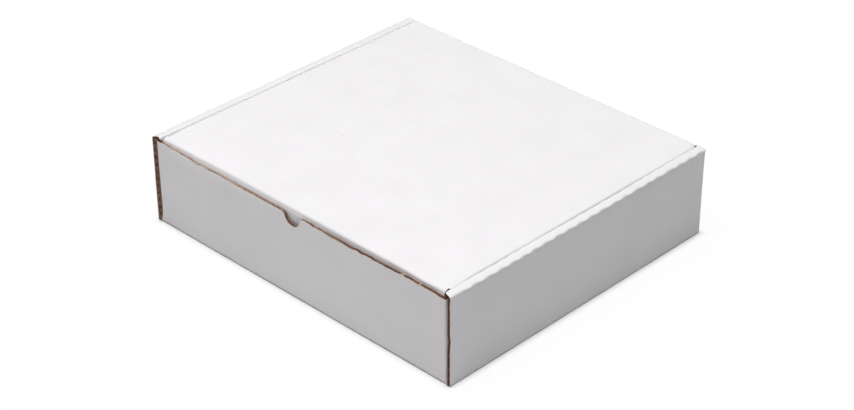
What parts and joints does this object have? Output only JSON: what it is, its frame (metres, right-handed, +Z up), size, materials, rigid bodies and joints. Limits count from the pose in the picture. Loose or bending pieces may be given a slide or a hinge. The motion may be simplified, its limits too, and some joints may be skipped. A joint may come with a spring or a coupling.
{
  "type": "mailer box",
  "caption": "White corrugated mailer box folded from one sheet, with rolled double side walls, a thumb notch in the front wall and a hinged lid with tuck and dust flaps",
  "frame": {"origin": "middle of the underside of the base, on the surface that the box stands on", "axes": "+X along the front to the right, +Y from the front wall to the lid crease at the back, +Z up"},
  "size_m": [0.3216, 0.2834, 0.0774],
  "materials": {
    "white_board": "matte white-top liner, brown kraft core and inside"
  },
  "bodies": {
    "tray": {"tray": "white_board"},
    "lid": {"lid": "white_board"}
  },
  "joints": [
    {"name": "lid_hinge", "type": "hinge", "parent": "tray", "child": "lid", "pos_m": [0, 0.14175, 0.0774], "axis": [-1, 0, 0], "range_deg": [0, 180]}
  ]
}
